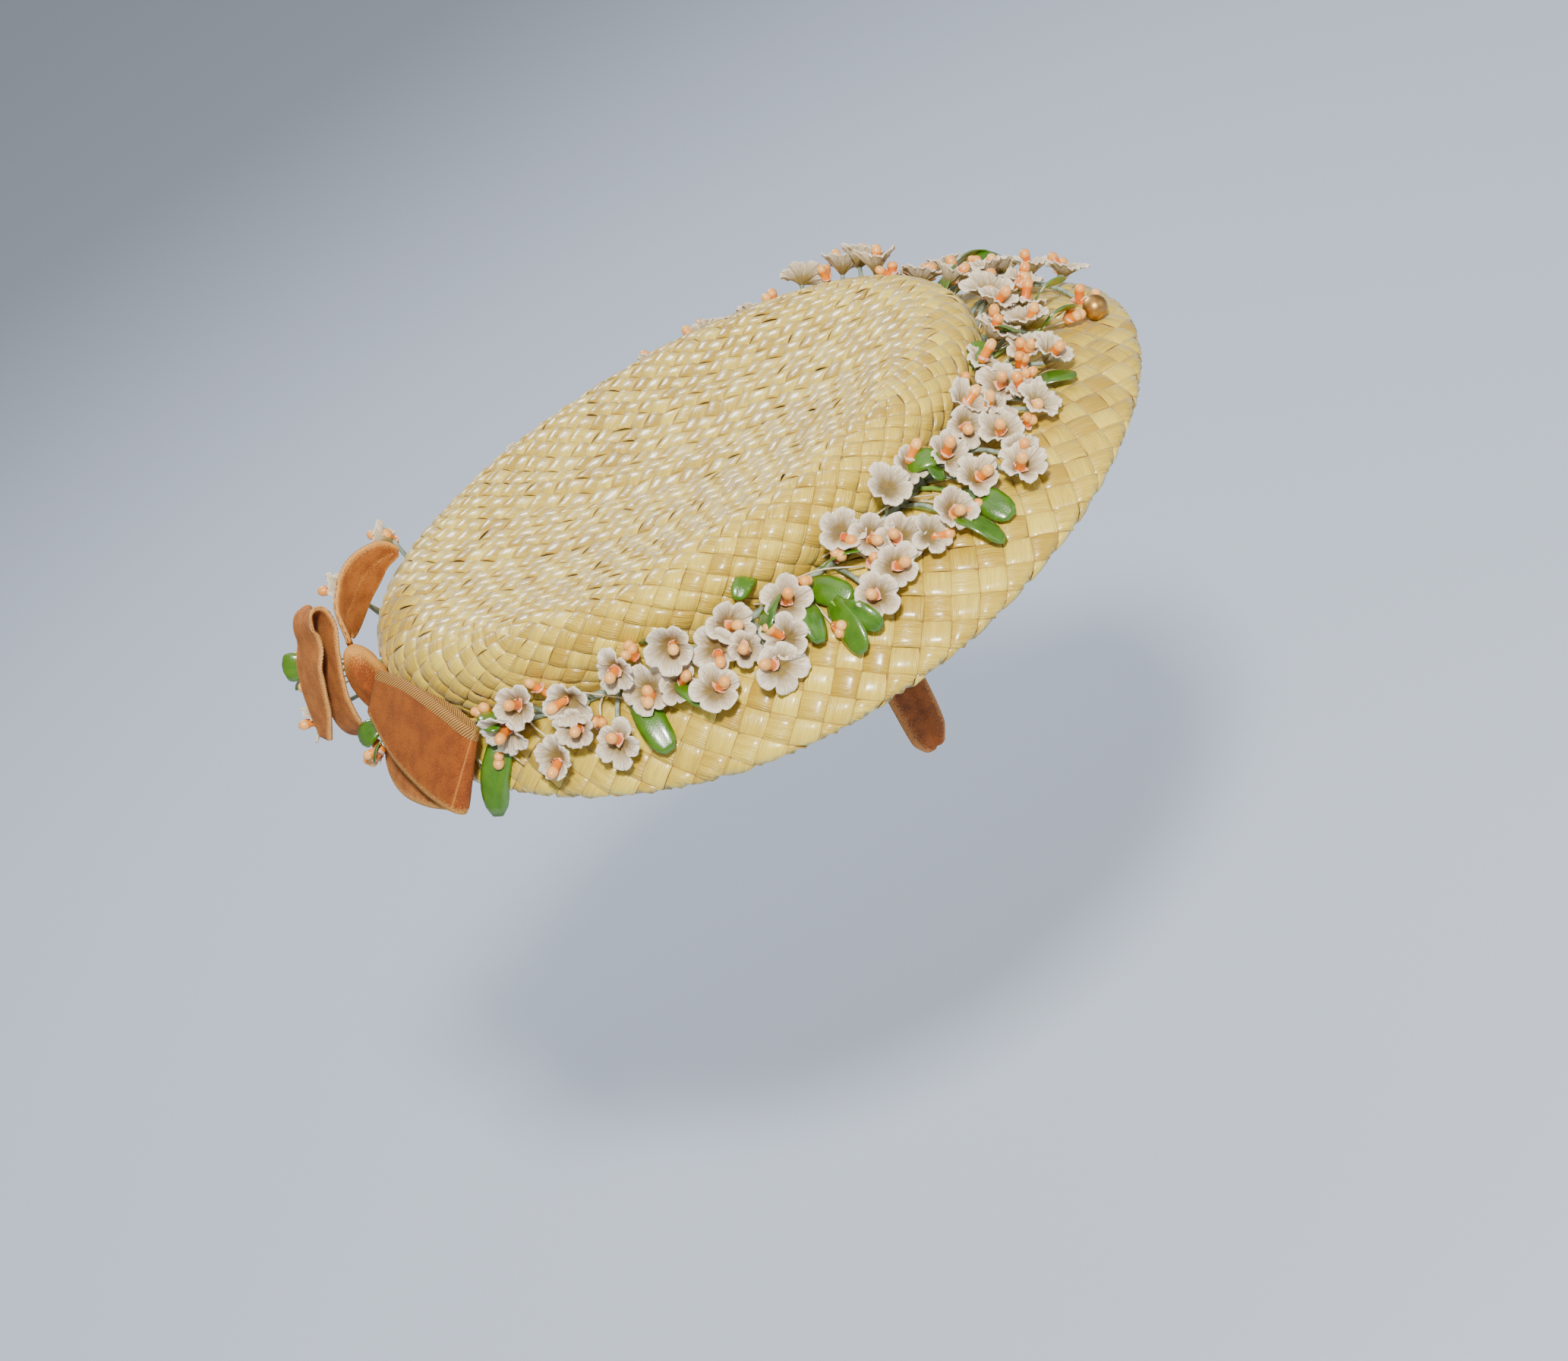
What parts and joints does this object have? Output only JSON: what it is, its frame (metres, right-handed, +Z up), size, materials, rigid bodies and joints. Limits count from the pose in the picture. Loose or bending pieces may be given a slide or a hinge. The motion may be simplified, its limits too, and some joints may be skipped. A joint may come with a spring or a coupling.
{
  "type": "pancake hat",
  "caption": "Wide shallow plaited-straw hat with a dished crown, sloping brim, flower garland in the crease, rear velvet bow, hat pin and two velvet grips below the brim.",
  "frame": {"origin": "the point under the middle of the crown that rests on top of the head", "axes": "+X towards the hat's front, +Y towards the wearer's left, +Z up, with the rim of the crown level"},
  "size_m": [0.2809, 0.2466, 0.1167],
  "materials": {
    "straw": "glossy plaited straw",
    "garland_stem": "paper-taped wire",
    "petal": "velvet cloth",
    "leaf": "glossy coated cloth",
    "bow_velvet": "velvet ribbon",
    "grip_velvet": "velvet over a padded wire",
    "pin": "bronze satin"
  },
  "bodies": {
    "root": {"straw_body": "straw", "garland_stem": "garland_stem", "spray_stem": "garland_stem", "blossom_01": "petal", "blossom_02": "petal", "blossom_03": "petal", "blossom_04": "petal", "blossom_05": "petal", "blossom_06": "petal", "blossom_07": "petal", "blossom_08": "petal", "blossom_09": "petal", "blossom_10": "petal", "blossom_11": "petal", "blossom_12": "petal", "blossom_13": "petal", "blossom_14": "petal", "blossom_15": "petal", "blossom_16": "petal", "blossom_17": "petal", "blossom_18": "petal", "blossom_19": "petal", "blossom_20": "petal", "blossom_21": "petal", "blossom_22": "petal", "blossom_23": "petal", "blossom_24": "petal", "blossom_25": "petal", "blossom_26": "petal", "blossom_27": "petal", "blossom_28": "petal", "blossom_29": "petal", "blossom_30": "petal", "blossom_31": "petal", "blossom_32": "petal", "blossom_33": "petal", "spray_blossom_01": "petal", "spray_blossom_02": "petal", "spray_blossom_03": "petal", "leaf_01": "leaf", "leaf_02": "leaf", "leaf_03": "leaf", "leaf_04": "leaf", "leaf_05": "leaf", "leaf_06": "leaf", "leaf_07": "leaf", "leaf_08": "leaf", "leaf_09": "leaf", "leaf_10": "leaf", "leaf_11": "leaf", "bow_knot": "bow_velvet", "bow_loop_right": "bow_velvet", "bow_loop_rear": "bow_velvet", "bow_loop_upper": "bow_velvet", "velvet_grip_right": "grip_velvet", "velvet_grip_left": "grip_velvet", "hat_pin": "pin"}
  },
  "joints": []
}
